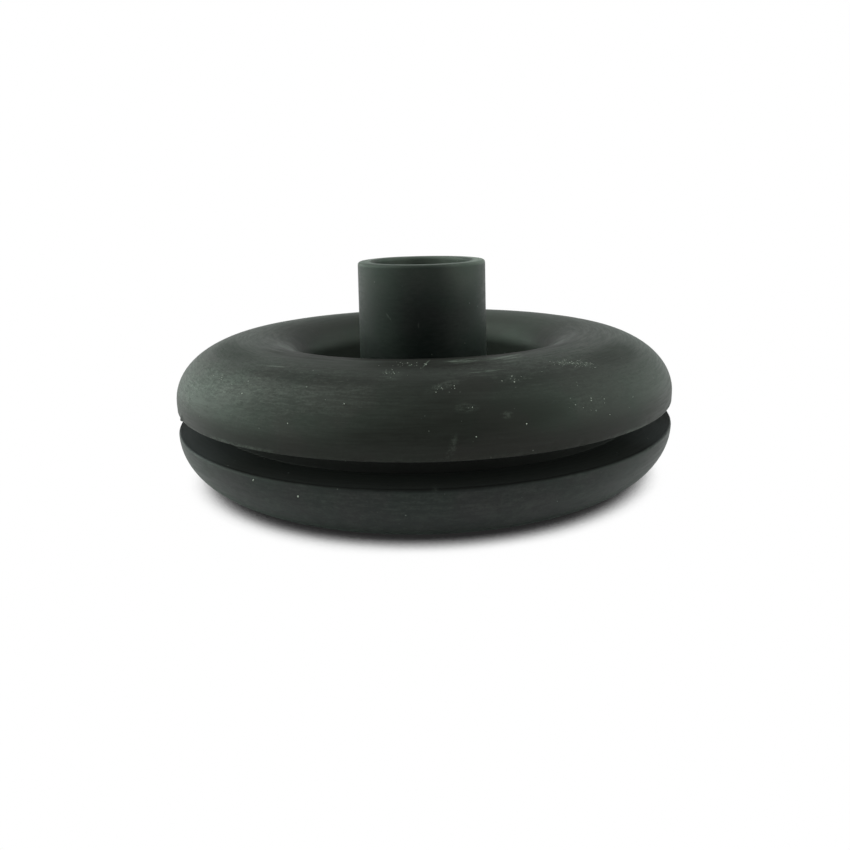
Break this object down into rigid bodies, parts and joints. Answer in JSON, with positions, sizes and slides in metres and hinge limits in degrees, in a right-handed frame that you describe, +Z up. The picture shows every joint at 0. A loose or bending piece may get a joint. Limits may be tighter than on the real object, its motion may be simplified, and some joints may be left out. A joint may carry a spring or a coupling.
{
  "type": "rubber grommet",
  "caption": "Moulded black rubber panel grommet: a domed ring with an outside groove for a panel edge, and a thin open sleeve that rises from the well in its middle.",
  "frame": {"origin": "centre of the flat foot that the lower ring stands on", "axes": "+Z up along the bore's axis, out of the sleeve's rim; the part is round about it"},
  "size_m": [0.0502, 0.0502, 0.0211],
  "materials": {
    "rubber": "satin moulded black rubber with fine dust and scuffs"
  },
  "bodies": {
    "root": {"grommet": "rubber"}
  },
  "joints": []
}
